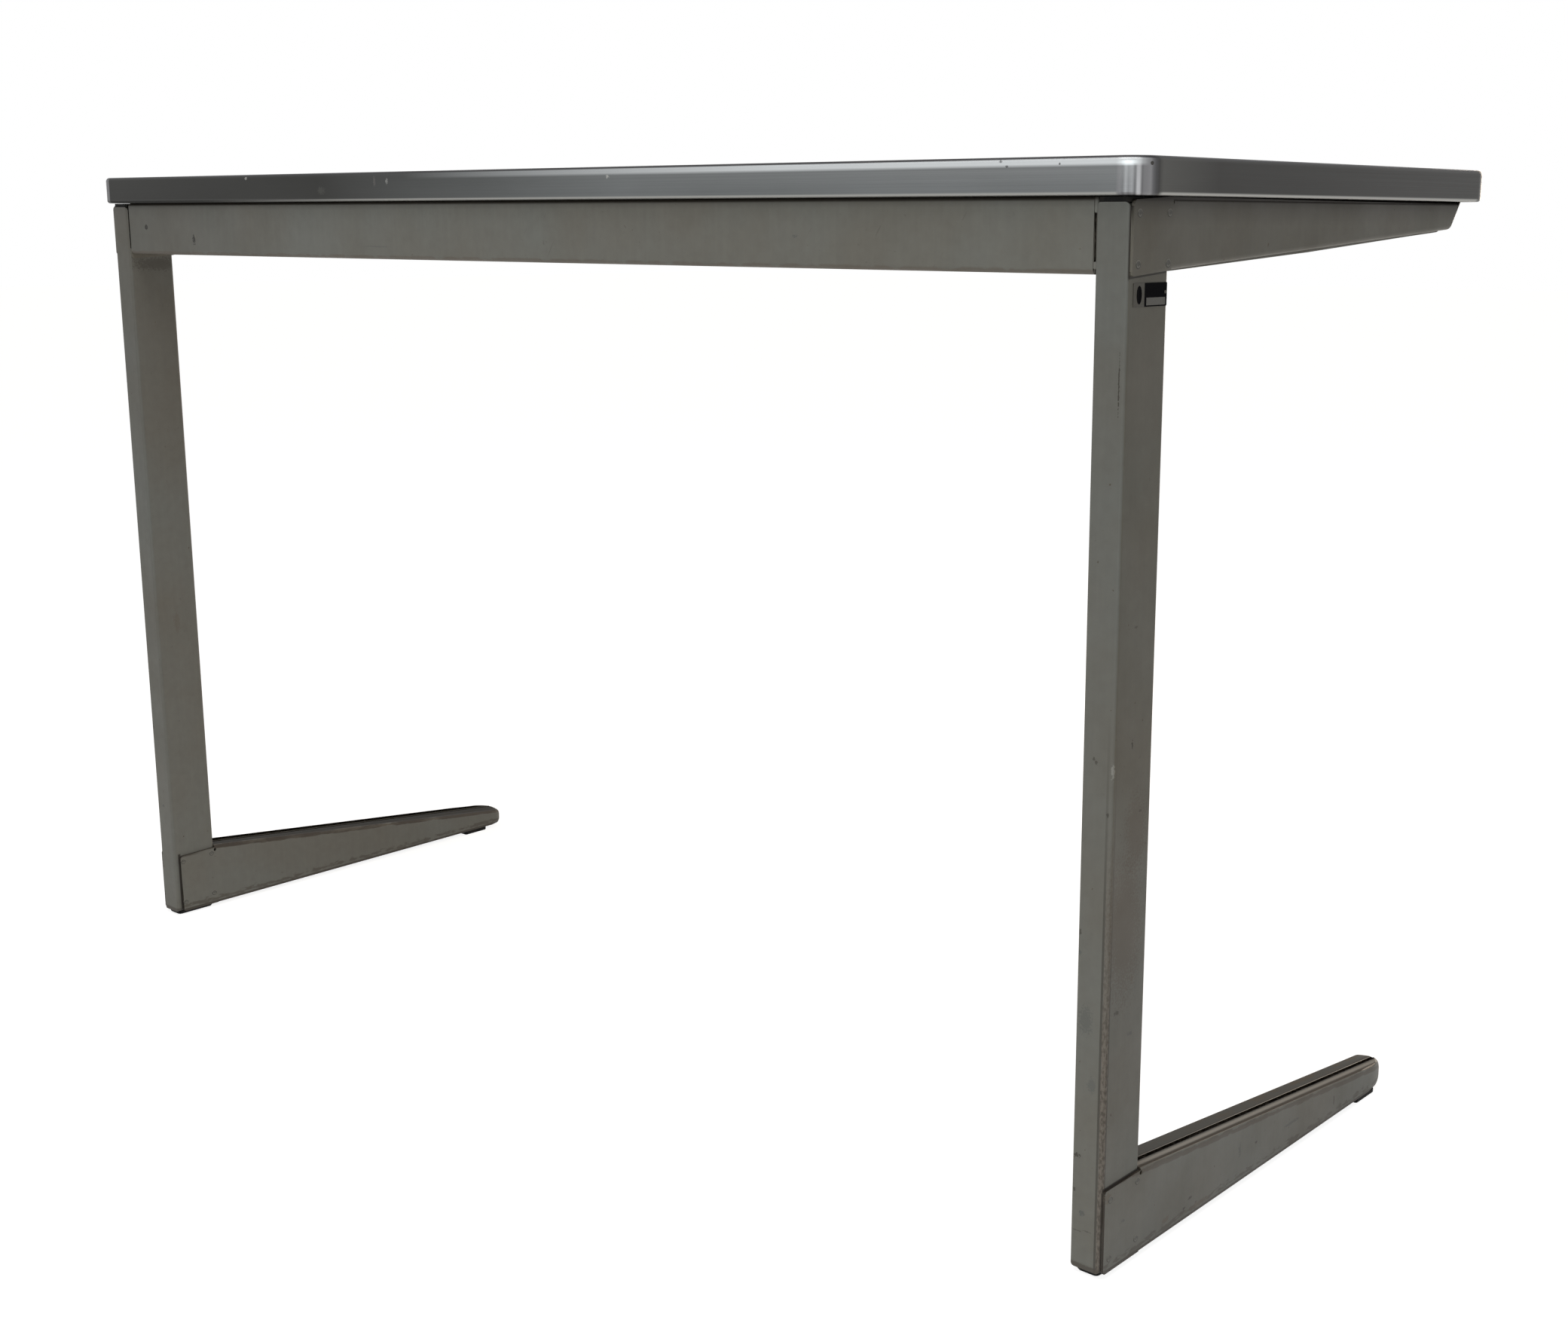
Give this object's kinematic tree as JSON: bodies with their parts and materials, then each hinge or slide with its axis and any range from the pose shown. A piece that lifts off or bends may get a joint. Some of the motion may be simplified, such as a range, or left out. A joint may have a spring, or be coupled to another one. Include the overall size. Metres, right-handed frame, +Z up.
{
  "type": "desk",
  "caption": "Office desk with a thin rectangular top in a metal edging, carried on two folded sheet-steel C-shaped legs joined by a rear rail.",
  "frame": {"origin": "on the floor under the middle of the desk top", "axes": "+X along the length of the top, +Y to the rear, where the uprights and the rail stand, +Z up from the floor to the working face; the user sits on the -Y side"},
  "size_m": [1.2, 0.5, 0.75],
  "materials": {
    "linoleum": "matt dark grey desk covering, faintly worn",
    "chipboard": "raw particle board, hidden",
    "backing": "matt resin-paper backing",
    "edging": "satin, drawn along its length, dulled",
    "enamel": "olive-grey stove enamel, semi-matt, worn brown on the edges",
    "plastic": "black moulded glide",
    "screw": "dull zinc"
  },
  "bodies": {
    "root": {"top_core": "chipboard", "top_surface": "linoleum", "top_backing": "backing", "edge_band": "edging", "edge_pins": "screw", "left_upright": "enamel", "right_upright": "enamel", "left_arm_outer": "enamel", "left_arm_inner": "enamel", "right_arm_outer": "enamel", "right_arm_inner": "enamel", "left_foot_outer": "enamel", "left_foot_inner": "enamel", "right_foot_outer": "enamel", "right_foot_inner": "enamel", "rear_rail": "enamel", "left_rear_glide": "plastic", "right_rear_glide": "plastic", "left_front_glide": "plastic", "right_front_glide": "plastic", "left_upright_cap": "plastic", "right_upright_cap": "plastic", "left_arm_screws": "screw", "right_arm_screws": "screw", "rail_screws": "screw"}
  },
  "joints": []
}
